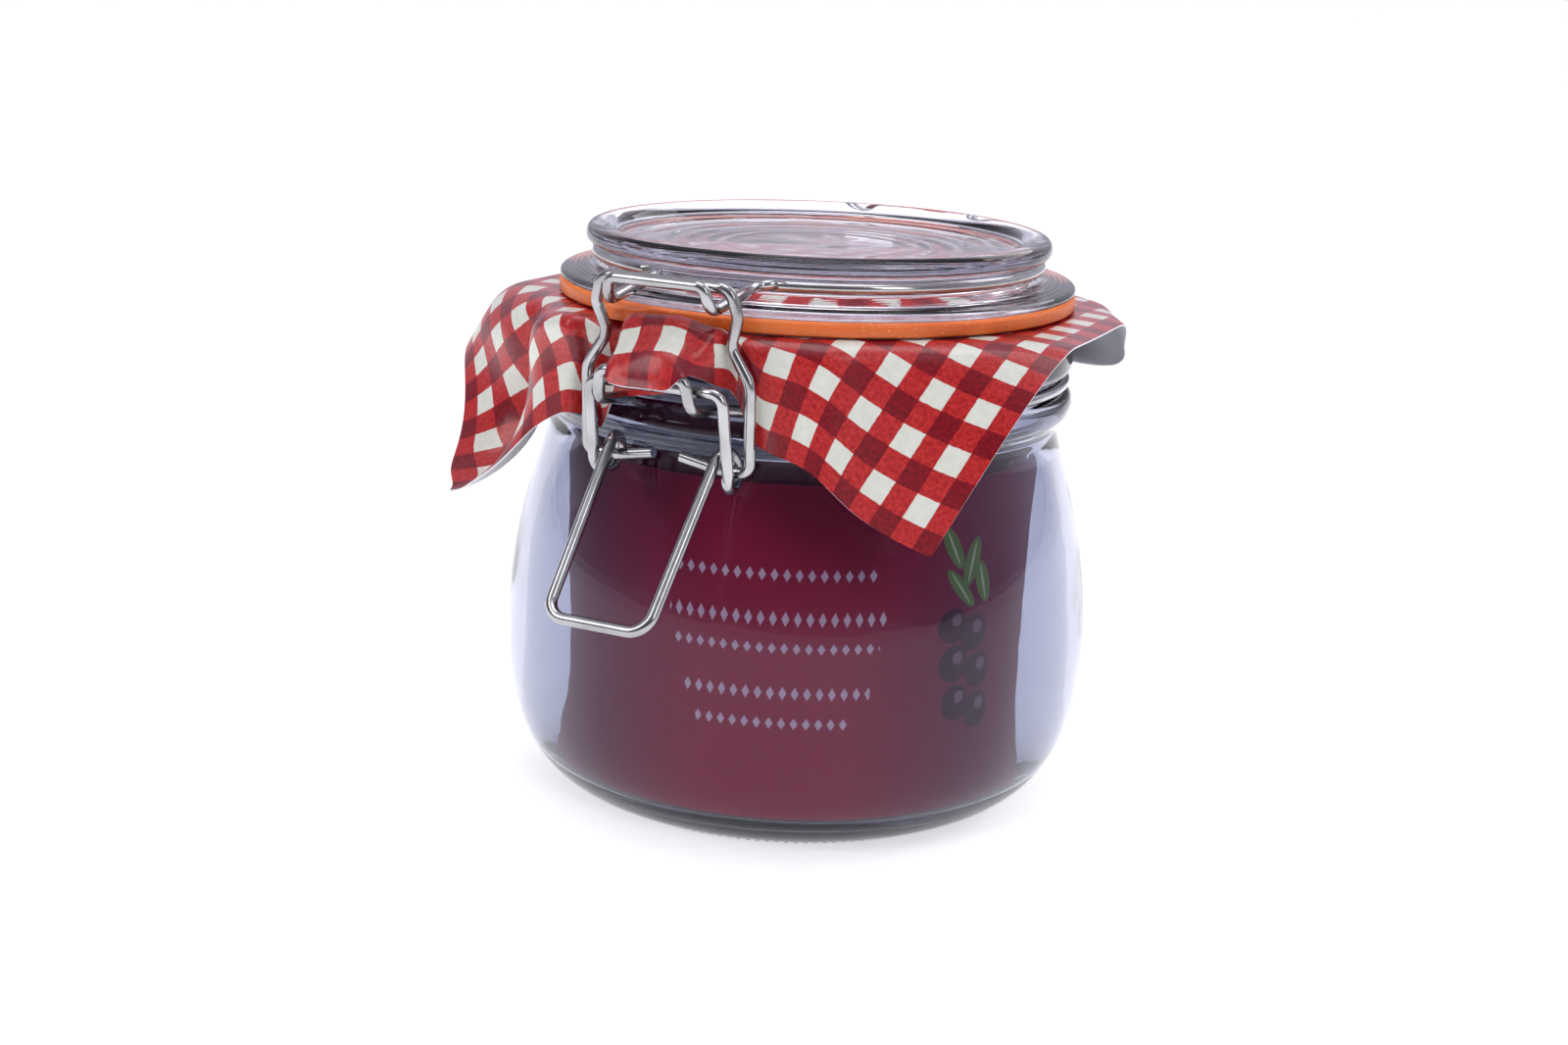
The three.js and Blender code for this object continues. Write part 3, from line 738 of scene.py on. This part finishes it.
def spot_on_card(azimuth, height, half_width, half_height, lean=0.0):
    """1 inside an oval on the card that leans by a share of its height, 0 outside."""
    rise = maths("SUBTRACT", up, height)
    aside = maths("SUBTRACT", maths("SUBTRACT", along, card_along(azimuth)),
                  maths("MULTIPLY", rise, lean))
    a, b = maths("MULTIPLY", aside, 1 / half_width), maths("MULTIPLY", rise, 1 / half_height)
    far = maths("ADD", maths("MULTIPLY", a, a), maths("MULTIPLY", b, b))
    return maths("MULTIPLY", maths("SUBTRACT", 1, far), 4, clamp=True)


LEAVES = [  # azimuth, height, half width, half height, lean
    (64, 54, 1.8, 4.2, 0.5), (70, 51, 1.9, 4.6, -0.2),
    (67, 46.5, 1.8, 4.0, 0.8), (74, 47, 1.9, 4.2, 0.3)]
FRUITS = [  # azimuth, height, radius
    (65, 40, 3.4), (72, 38, 3.6), (66, 33, 3.6), (74, 31, 3.5), (67, 26, 3.4), (74, 24, 3.4)]
VEIN_HALF, VEIN_SHARE = 0.3, 0.8
GLOSS_TURN, GLOSS_RISE, GLOSS_SHARE, GLOSS_LIGHT = 1.2, 0.9, 0.35, 0.2
for azimuth, height, half_width, half_height, lean in LEAVES:
    leaf = spot_on_card(azimuth, height, half_width, half_height, lean)
    vein = spot_on_card(azimuth, height, VEIN_HALF, half_height * VEIN_SHARE, lean)
    colour = blended(vein, blended(leaf, colour, LEAF_GREEN), LEAF_PALE)
for azimuth, height, half in FRUITS:
    colour = blended(spot_on_card(azimuth, height, half, half), colour, FRUIT)
    gloss = spot_on_card(azimuth + GLOSS_TURN, height + GLOSS_RISE,
                         half * GLOSS_SHARE, half * GLOSS_SHARE)
    colour = blended(maths("MULTIPLY", gloss, GLOSS_LIGHT), colour, PALE_MARK)
tree.links.new(colour, shader.inputs["Base Color"])
smooth_shade(card, 40)
settle(card, card_paint, "root", "printed_card", "card_insert")


# %% [markdown]
# ## Gingham paper
# A square of stiff glossy paper lies over the mouth and is caught between the rim and the seal.
# Outside the seal it turns down: a flat flap hangs over the right shoulder, one to the left ends
# in a sharp tip, and beside the clip it is pressed in behind the straps. The square starts as a
# flat grid. Sixteen directions round the jar have a fold each, a run of bends that the paper
# follows past a straight line, and a point between two of them takes a smooth share of both. That
# keeps the paper nearly unstretched, as real paper is.

# %% How a point of the flat sheet is laid
SHEET_Z, SHEET_CELLS, SHEET_THICK = 91.5, 140, 0.3
CORNER, SHEET_TURN = (60.6, -61.1), 3.3
FOLDS = [  # azimuth, start of the first bend, stretch, bends as (length, degrees down)
    (2, 47.2, 1, [(2, -50), (1.8, 0), (5, 102), (5.9, 0), (2.5, 25)]),
    (9, 47.2, 1, [(2, -34), (1.5, 0), (5, 96), (5, 10)]),
    (19, 47, 1, [(4.5, 82)]),
    (37.4, 46.6, 1, [(5.6, 80)]),
    (91, 47.2, 1, [(10, 10)]),
    (118, 47, 1, [(7, 8), (3, 58), (9, 0), (5, 60)]),
    (140, 47, 1, [(5, 8), (3, 64), (8, 0), (5, 120), (8, 0)]),
    (163, 47, 1, [(4.5, 82)]),
    (180, 48.6, 0.86, [(2, -50), (6.1, 130)]),
    (197, 47, 1, [(4.5, 82)]),
    (227, 46.8, 1, [(6, 72)]),
    (273, 47.2, 1, [(9, 55)]),
    (317, 46.8, 1, [(8, 74), (8, 23.6), (14, -46.6), (12, -31.2)]),
    (338.6, 49.8, 1, [(1.6, -30), (5.6, 142.5), (6, -33)]),
    (346, 46.8, 1, [(4.5, 82)]),
    (352.5, 47.2, 1, [(2, -44), (1.8, 0), (5, 100), (5, 5)]),
]
PLEAT_AZIMUTH, PLEAT_DEPTH, PLEAT_WIDTH, PLEAT_GROWTH = 317, 4.5, 5, 12
HELD_IN = [(0, 62), (6.5, 62), (8.2, 57.6), (9.5, 53.2), (10.7, 50.4), (12.2, 48.6), (19, 48.6),
           (22, 62), (90, 62)]             # in front: how far aside, how far out at most
LEFT_SOONER, NOSE_HALF = 1.3, 9.7          # held in sooner on the left; where the nose carries it
EAR_LEAN, EAR_OUT, EAR_HALF, EAR_SIDE, EAR_SOFT = 0.18, 48, 12.5, 4, 0.4
HOOP_TOP, HOOP_HALF, HOOP_FALL = 82.1, 11.2, 4      # rest on the hoop, and where it falls away
NOSE_TOP, BAR_RISE, EAR_REACH, EAR_DROP = 85, 2.3, 2.4, 3.4     # rest on the nose, the ear's end
BAR_AT, NOSE_AT, REACH_AT, DROP_AT = (54.6, 1.4), (52.6, 1.2), (55.5, 3), (60.1, 1.2)
BACK_HELD, BACK_FROM, BACK_TO, BACK_SOFT = 48.6, 7.5, 20.5, 3       # behind: held in to, where
BACK_RESTS = [(-11, 11, 88), (-18, -14, 81.8), (14, 18, 81.8)]      # from, to, height
REST_SOFT, REST_SIDE = 0.8, 1.5
NECK_RADIUS, NECK_BELOW = 49.1, 90.3
SMOOTH_ROUNDS = 2               # with one, the thickness throws spikes off the sharpest folds


def ease(value):
    """Smooth step from 0 to 1."""
    value = min(max(value, 0), 1)
    return value * value * (3 - 2 * value)


def eased(value, start, span):
    """Smooth step from 0 at the start to 1 at the end of the span."""
    return ease((value - start) / span)


def followed(bends, length):
    """How far out and down a run of bends has gone after a length of sheet."""
    out = down = angle = 0
    left = max(0, length)
    for span, turn in [*bends, (1000, 0)]:
        part = min(left, span)
        change = math.radians(turn) * part / span
        chord = part if abs(change) < 1e-6 else 2 * part / change * math.sin(change / 2)
        out += chord * math.cos(angle + change / 2)
        down += chord * math.sin(angle + change / 2)
        angle += change
        left -= part
        if left <= 0:
            break
    return out, down


def rested(height, rest, soft):
    """A height that stays above a rest, with a soft change from lying on it to standing off it."""
    return rest + soft * math.log(1 + math.exp((height - rest) / soft))


def held_in_front(spot):
    """Beside the clip the bail holds the sheet in. Between its legs an ear of the sheet leans to
    the right, lies over the neck hoop's nose and turns down in front of it."""
    spot.x += EAR_LEAN * max(0, -spot.y - EAR_OUT) * ease((EAR_HALF - abs(spot.x)) / EAR_SIDE)
    beside = spot.x if spot.x > 0 else LEFT_SOONER - spot.x
    (a, low), (b, high) = next(pair for pair in zip(HELD_IN, HELD_IN[1:]) if beside < pair[1][0])
    out = min(-spot.y, low + (high - low) * (beside - a) / (b - a))
    spot.y = -out
    spot.z = rested(spot.z, HOOP_TOP - HOOP_FALL * max(0, abs(spot.x) - HOOP_HALF), EAR_SOFT)
    if beside < NOSE_HALF:
        lifted = rested(spot.z, NOSE_TOP + BAR_RISE * eased(out, *BAR_AT), EAR_SOFT)
        spot.z += (lifted - spot.z) * eased(out, *NOSE_AT)
        spot.y -= EAR_REACH * eased(out, *REACH_AT)
        spot.z -= EAR_DROP * eased(-spot.y, *DROP_AT)


def held_behind(spot):
    """Behind, the sheet is held in beside the hinge loops and rests on their wires."""
    beside = abs(spot.x)
    inner, outer = eased(beside, BACK_FROM, BACK_SOFT), ease((BACK_TO - beside) / BACK_SOFT)
    spot.y -= max(0, spot.y - BACK_HELD) * inner * outer
    for left, right, height in BACK_RESTS:
        share = ease((spot.x - left) / REST_SIDE + 1) * ease((right - spot.x) / REST_SIDE + 1)
        spot.z += (rested(spot.z, height, REST_SOFT) - spot.z) * share


def laid(x, y):
    """Place of a point of the flat sheet on the jar, in millimetres."""
    azimuth = math.degrees(math.atan2(x, -y)) % 360
    second = next((k for k, fold in enumerate(FOLDS) if fold[0] > azimuth), 0)
    first = (second - 1) % len(FOLDS)
    span = (FOLDS[second][0] - FOLDS[first][0]) % 360
    share = (azimuth - FOLDS[first][0]) % 360 / span
    spot = Vector((0, 0, 0))
    for fold, weight in ((FOLDS[first], ease(1 - share)), (FOLDS[second], ease(share))):
        turn, start, stretch, bends = fold
        nx, ny = math.sin(math.radians(turn)), -math.cos(math.radians(turn))
        distance, aside = x * nx + y * ny, -x * ny + y * nx
        out, down = followed(bends, (distance - start) * stretch)
        reach = min(distance, start) + out
        if turn == PLEAT_AZIMUTH:
            pleat = PLEAT_DEPTH * math.exp(-(aside / PLEAT_WIDTH) ** 2)
            reach -= pleat * eased(distance, start, PLEAT_GROWTH)
        spot += weight * Vector((reach * nx - aside * ny, reach * ny + aside * nx, SHEET_Z - down))
    if spot.y < 0:
        held_in_front(spot)
    else:
        held_behind(spot)
    radius = math.hypot(spot.x, spot.y)
    if spot.z < NECK_BELOW and radius < NECK_RADIUS:
        spot.x *= NECK_RADIUS / radius
        spot.y *= NECK_RADIUS / radius
    return spot


# %% Paper shape
deselect()
bpy.ops.mesh.primitive_grid_add(x_subdivisions=SHEET_CELLS, y_subdivisions=SHEET_CELLS,
                                size=SHEET_SIDE * MM, calc_uvs=True)
paper = bpy.context.object
paper.name = "gingham_cover"
turn = math.radians(SHEET_TURN)
edge_way = Vector((-math.cos(turn), -math.sin(turn)))
inward = Vector((-math.sin(turn), math.cos(turn)))
for vertex in paper.data.vertices:
    u, v = SHEET_SIDE / 2 - vertex.co.x / MM, SHEET_SIDE / 2 + vertex.co.y / MM
    flat = Vector(CORNER) + edge_way * u + inward * v
    vertex.co = laid(flat.x, flat.y) * MM
paper.data.update()
edit(paper)
bpy.ops.mesh.vertices_smooth(factor=0.5, repeat=SMOOTH_ROUNDS)
leave()

# %% [markdown]
# The print is a gingham: red bands one way over red bands the other way, white where neither is
# and dark where both are. It is mottled like a water colour. The pattern reads the sheet's own
# UV map, so it bends with the paper. The second finish, for the underside and the cut edge, is
# plain white paper. Solidify gives the sheet its thickness and puts that finish there.

# %% Paper finish
paper_print, tree, shader, add = plain_material(
    "gingham_print", (0.6, 0.05, 0.05), 0.3, Specular_IOR_Level=0.35)
uv = add("ShaderNodeUVMap", uv_map=paper.data.uv_layers[0].name).outputs[0]
scaled = add("ShaderNodeVectorMath", operation="SCALE")
scaled.inputs["Scale"].default_value = SHEET_SIDE
tree.links.new(uv, scaled.inputs[0])
flat_place = scaled.outputs[0]
wobble = add("ShaderNodeTexNoise")
wobble.inputs["Scale"].default_value = 0.9
tree.links.new(flat_place, wobble.inputs["Vector"])
split = add("ShaderNodeSeparateXYZ")
tree.links.new(flat_place, split.inputs[0])
FIRST_WHITE = 6.05              # middle of the first white square, from the cut edge
BAND_HALF, BAND_SHARP, BAND_WOBBLE = 0.257, 70, 0.25    # shares of a repeat, and millimetres


def red_band(value):
    """1 inside a red band, 0 inside a white one, with an edge as sharp as print."""
    nudge = maths("MULTIPLY", maths("SUBTRACT", wobble.outputs["Fac"], 0.5), BAND_WOBBLE)
    nudged = maths("ADD", value, nudge)
    repeats = maths("MULTIPLY", maths("SUBTRACT", nudged, FIRST_WHITE - 3 * CHECK), 1 / CHECK)
    cell = maths("FRACT", repeats)
    inside = maths("SUBTRACT", BAND_HALF, apart(cell, 0.5))     # 0.5 apart at the white middle
    return maths("MULTIPLY", inside, BAND_SHARP, clamp=True)


def mottle(scale, dark, light, low=0.38, high=0.62, detail=6):
    """A tone that wanders between two colours."""
    spots = add("ShaderNodeTexNoise")
    spots.inputs["Scale"].default_value = scale
    spots.inputs["Detail"].default_value = detail
    spots.inputs["Roughness"].default_value = 0.65
    tree.links.new(flat_place, spots.inputs["Vector"])
    tones = ramp(add, [(low, dark), (high, light)])
    tree.links.new(spots.outputs["Fac"], tones.inputs[0])
    return tones.outputs[0]


red_u, red_v = red_band(split.outputs["X"]), red_band(split.outputs["Y"])
one = maths("MAXIMUM", red_u, red_v)
both = maths("MULTIPLY", red_u, red_v)
white = mottle(0.6, (0.68, 0.68, 0.60), (0.74, 0.74, 0.67))
red = mottle(1.3, (0.32, 0.007, 0.010), (0.58, 0.032, 0.030), 0.36, 0.64, 8)
dark = mottle(1.3, (0.13, 0.001, 0.006), (0.27, 0.005, 0.014), 0.36, 0.64, 8)
colour = blended(both, blended(one, white, red), dark)
tree.links.new(colour, shader.inputs["Base Color"])
shader.inputs["Coat Weight"].default_value = 0.25
shader.inputs["Coat Roughness"].default_value = 0.12
plain_paper, tree, shader, add = plain_material("plain_paper", (0.80, 0.80, 0.82), 0.55)
add_bump(tree, add, shader, 1500, 0.1, 0.05, add("ShaderNodeTexCoord").outputs["Object"])
paper.data.materials.clear()
paper.data.materials.append(paper_print)
paper.data.materials.append(plain_paper)
add_modifier(paper, "SOLIDIFY", thickness=SHEET_THICK * MM, offset=0, use_even_offset=True,
             material_offset=1, material_offset_rim=1)
smooth_shade(paper, 60)
settle(paper, None, "root", "gingham_paper", "paper_cover")


# %% [markdown]
# ## Wires
# The clip is four bent wires of one thickness: a hoop round the lid, a hoop round the neck, the
# bail that is drawn over the lid's nose, and the lever that draws it down. Each is a line through
# its corners, with every corner rounded to the bend of the tool, and a round section along it.

# %% Lines of the wires
def wire_point(side, out, up):
    """A point by its side, its distance out towards the clip, and its height."""
    return Vector((side, -out, up))


def rounded(corners, step=8):
    """A line through corners, each a point and a bend radius. Bends are drawn in small steps."""
    line = []
    for k, (point, radius) in enumerate(corners):
        if not radius:
            line.append(point)
            continue
        before = (corners[k - 1][0] - point).normalized()
        after = (corners[k + 1][0] - point).normalized()
        opening = before.angle(after)
        turn = math.pi - opening
        centre = point + (before + after).normalized() * (radius / math.sin(opening / 2))
        cut = radius / math.tan(opening / 2)
        start, end = point + before * cut - centre, point + after * cut - centre
        steps = max(2, math.ceil(math.degrees(turn) / step))
        for i in range(steps + 1):
            share = i / steps
            line.append(centre + start * (math.sin((1 - share) * turn) / math.sin(turn))
                        + end * (math.sin(share * turn) / math.sin(turn)))
    return line


def mirrored(line):
    """The line's other half, in the order that continues it."""
    return [Vector((-point.x, point.y, point.z)) for point in reversed(line)]


def hoop_arc(radius, up, centre, start, end, step=2.5):
    """Points of a hoop between two azimuths, ends left out."""
    count = math.ceil(abs(end - start) / step)
    turns = [math.radians(start + (end - start) * k / count) for k in range(1, count)]
    return [(Vector((centre[0] + radius * math.sin(turn),
                     centre[1] - radius * math.cos(turn), up)), 0) for turn in turns]


def hoop_half(radius, up, centre, part, sign, direction):
    """Where one arm of a nose or loop leaves the hoop, and its corners out to the middle bar."""
    side = part["middle"] + sign * part["half"]
    reach = math.sqrt(radius ** 2 - (side - centre[0]) ** 2)
    azimuth = math.degrees(math.atan2(side - centre[0], direction * reach))
    corners = [(Vector((side, centre[1] - direction * reach, up)), part["root"])]
    for inset, out, height, bend_radius in part["corners"]:
        side = part["middle"] + sign * (part["half"] - inset)
        corners.append((Vector((side, -direction * out, height)), bend_radius))
    return azimuth, corners


def hoop_line(radius, up, centre, front, back, open_at):
    """A hoop with a nose in front and a loop behind, as one wire whose ends meet in a bar."""
    halves = {}
    for part, direction in ((front, 1), (back, -1)):
        for sign in (1, -1):
            halves[direction, sign] = hoop_half(radius, up, centre, part, sign, direction)
    right_arc = hoop_arc(radius, up, centre, halves[1, 1][0], halves[-1, 1][0])
    left_arc = hoop_arc(radius, up, centre, halves[-1, -1][0], halves[1, -1][0])
    bar = halves[open_at[0], 1][1][-1][0]
    stop = (Vector((open_at[1] + BUTT_GAP / 2, bar.y, bar.z)), 0)
    start = (Vector((open_at[1] - BUTT_GAP / 2, bar.y, bar.z)), 0)
    if open_at[0] == -1:
        return rounded([start, *reversed(halves[-1, -1][1]), *left_arc, *halves[1, -1][1],
                        *reversed(halves[1, 1][1]), *right_arc, *halves[-1, 1][1], stop])
    return rounded([stop, *reversed(halves[1, 1][1]), *right_arc, *halves[-1, 1][1],
                    *reversed(halves[-1, -1][1]), *left_arc, *halves[1, -1][1], start])


# a corner of a nose or loop: how far in from its half width, distance out, height, bend radius
lid_hoop_line = hoop_line(
    radius=40.13, up=99.05, centre=LID_OFFSET, open_at=(-1, 0),
    front={"middle": 0.2, "half": 9.7, "root": 2.5,
           "corners": [(0.1, 54.9, 96.3, 2.4), (0.9, 55.7, 100.5, 1.7)]},
    back={"middle": 0, "half": 13, "root": 3,
          "corners": [(0, 52.2, 98.4, 2.5), (0, 52.2, 85.2, 1.5), (0.6, 54.2, 82.4, 1.6)]})
neck_hoop_line = hoop_line(
    radius=47.3, up=79, centre=(0, 0), open_at=(1, -2.5),
    front={"middle": -0.5, "half": 8.8, "root": 1.5,
           "corners": [(0.1, 57.5, 80.5, 2.4), (0.9, 58.4, 85.7, 1.7)]},
    back={"middle": 0, "half": 16, "root": 3,
          "corners": [(0, 57, 79.8, 2.2), (0.4, 57.4, 84, 1.4), (1, 55.6, 86.4, 1.5)]})

bail_half = rounded([
    (wire_point(0, 52.6, 100.2), 0), (wire_point(12, 52.6, 100.2), 2.6),
    (wire_point(13.4, 51.9, 95.5), 3.5), (wire_point(11.6, 50.9, 90.4), 3),
    (wire_point(15.5, 50.9, 84.6), 5), (wire_point(15.5, 50.6, 75), 8),
    (wire_point(15.5, BAIL_PIVOT[0], BAIL_PIVOT[1] - 0.1), 1.8),
    (wire_point(10, BAIL_PIVOT[0], BAIL_PIVOT[1] - 0.1), 1),
    (wire_point(2.7, BAIL_PIVOT[0] + 0.1, BAIL_PIVOT[1] + 1.2), 0)])
bail_line = mirrored(bail_half)[:-1] + bail_half[1:]

EYE, EYE_TURN, EYE_STEPS = 3, 321, 40      # radius, degrees, points
EYE_SIDE, EYE_SHIFT, LEVER_SIDE = 12.8, 2.7, 0.3
eye = []
for k in range(EYE_STEPS + 1):
    share = k / EYE_STEPS
    angle = -math.radians(EYE_TURN * share)
    eye.append((wire_point(EYE_SIDE - EYE_SHIFT * share, BAIL_PIVOT[0] + EYE * math.cos(angle),
                           BAIL_PIVOT[1] + EYE * math.sin(angle)), 0))
lever_half = rounded([
    (wire_point(BUTT_GAP / 2, *LEVER_PIVOT), 0), (wire_point(12.5, *LEVER_PIVOT), 2.2), *eye,
    (wire_point(9.4, 72.6, 47), 3.5), (wire_point(0, 72.6, 47), 0)])
lever_line = [point + Vector((LEVER_SIDE, 0, 0))
              for point in lever_half[:-1] + mirrored(lever_half)[1:]]

# %% [markdown]
# Drawn steel wire is bright, with long faint scratches and dull patches where it was bent or
# rubbed. The dull patches come from a wide noise on the roughness, the scratches from a fine one.

# %% Steel finish
steel, tree, shader, add = plain_material("steel_wire", (0.72, 0.72, 0.73), 0.16, Metallic=1.0)
place = add("ShaderNodeTexCoord").outputs["Object"]
patches = add("ShaderNodeTexNoise")
patches.inputs["Scale"].default_value = 120
patches.inputs["Detail"].default_value = 4
rough = ramp(add, [(0.35, 0.12), (0.6, 0.20), (0.75, 0.32)])
tones = ramp(add, [(0.35, (0.48, 0.48, 0.49)), (0.65, (0.32, 0.31, 0.31))])
add_bump(tree, add, shader, 2500, 0.12, 0.03, place)
for start, end in ((place, patches.inputs["Vector"]), (patches.outputs["Fac"], rough.inputs[0]),
                   (patches.outputs["Fac"], tones.inputs[0]),
                   (tones.outputs[0], shader.inputs["Base Color"]),
                   (rough.outputs[0], shader.inputs["Roughness"])):
    tree.links.new(start, end)

# %% [markdown]
# The lines get a round section and closed ends. A cut wire has a small chamfer round its end, so
# the two end faces of each wire are found by their number of sides and bevelled.

# %% Wire pieces
WIRE_CHAMFER = 0.18


def wire_piece(name, line, body, node):
    """A round wire along a line, with chamfered ends."""
    piece = draw_line(name, line)
    piece.data.dimensions = "3D"
    piece.data.bevel_depth = WIRE * MM
    piece.data.bevel_resolution = 6
    piece.data.use_fill_caps = True
    piece = make_mesh(piece)
    edit(piece)
    merge()
    bpy.ops.mesh.select_all(action="DESELECT")
    bpy.ops.mesh.select_face_by_sides(number=4, type="GREATER")
    bpy.ops.mesh.bevel(offset=WIRE_CHAMFER * MM, segments=2, affect="EDGES")
    leave()
    smooth_shade(piece, 50)
    settle(piece, steel, body, "steel_wire", node)
    return piece


wire_piece("lid_hoop_wire", lid_hoop_line, "root", "lid_hoop")
wire_piece("neck_hoop_wire", neck_hoop_line, "root", "neck_hoop")
wire_piece("bail_wire", bail_line, "bail", "bail")
wire_piece("lever_wire", lever_line, "lever", "lever")
